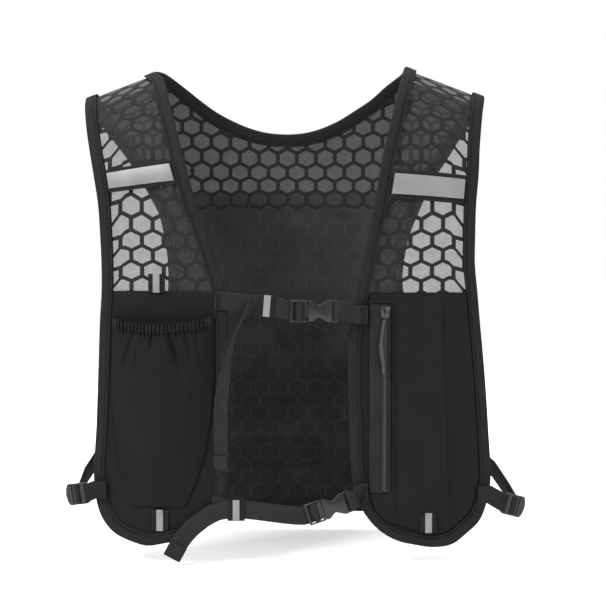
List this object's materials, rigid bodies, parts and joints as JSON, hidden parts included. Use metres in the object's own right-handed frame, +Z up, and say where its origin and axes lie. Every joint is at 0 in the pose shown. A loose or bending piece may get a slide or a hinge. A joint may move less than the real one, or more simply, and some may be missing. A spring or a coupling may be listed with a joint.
{
  "type": "running hydration vest",
  "caption": "Black running hydration vest with hexagon mesh, a gathered flask pocket, a zip pocket and two buckled front straps",
  "frame": {"origin": "Midway between the two shoulder straps, at the height of their crests.", "axes": "+Z is up. The wearer faces -Y. +X is towards the wearer's left hand."},
  "size_m": [0.4135, 0.1936, 0.4322],
  "materials": {
    "fabric": "black woven stretch fabric",
    "mesh": "black hexagon mesh",
    "binding": "charcoal knitted stretch binding",
    "webbing": "ribbed grey-black webbing",
    "elastic": "black elastic",
    "reflective": "grey reflective tape",
    "plastic": "moulded black plastic",
    "metal": "dark plated metal"
  },
  "bodies": {
    "root": {"front_panel_left": "fabric", "front_panel_right": "fabric", "back_lining": "fabric", "back_pocket": "fabric", "flask_pocket": "fabric", "zip_pocket": "fabric", "shoulder_band_left": "fabric", "shoulder_band_right": "fabric", "chest_mesh_left": "mesh", "chest_mesh_right": "mesh", "shoulder_mesh_left": "mesh", "shoulder_mesh_right": "mesh", "back_yoke_mesh": "mesh", "binding_neck": "binding", "binding_armhole_left": "binding", "binding_armhole_right": "binding", "binding_back_hem": "binding", "flask_pocket_hem": "elastic", "chest_keeper": "elastic", "waist_keeper": "elastic", "chest_tab": "elastic", "foot_left_tab": "elastic", "foot_right_tab": "elastic", "chest_strap_left": "webbing", "chest_strap_right": "webbing", "waist_strap_left": "webbing", "waist_strap_right": "webbing", "side_strap_front_left": "webbing", "side_strap_front_right": "webbing", "side_strap_back_left": "webbing", "side_strap_back_right": "webbing", "zipper_tape": "webbing", "zipper_coil": "plastic", "zipper_pull": "plastic", "zipper_slider": "metal", "chest_buckle_male": "plastic", "chest_buckle_female": "plastic", "waist_buckle_male": "plastic", "waist_buckle_female": "plastic", "side_slider_left": "plastic", "side_slider_right": "plastic", "reflective_strip_left": "reflective", "reflective_strip_right": "reflective", "chest_keeper_stripe": "reflective", "waist_keeper_stripe": "reflective", "chest_tab_stripe": "reflective", "foot_left_tab_stripe": "reflective", "foot_right_tab_stripe": "reflective"}
  },
  "joints": []
}
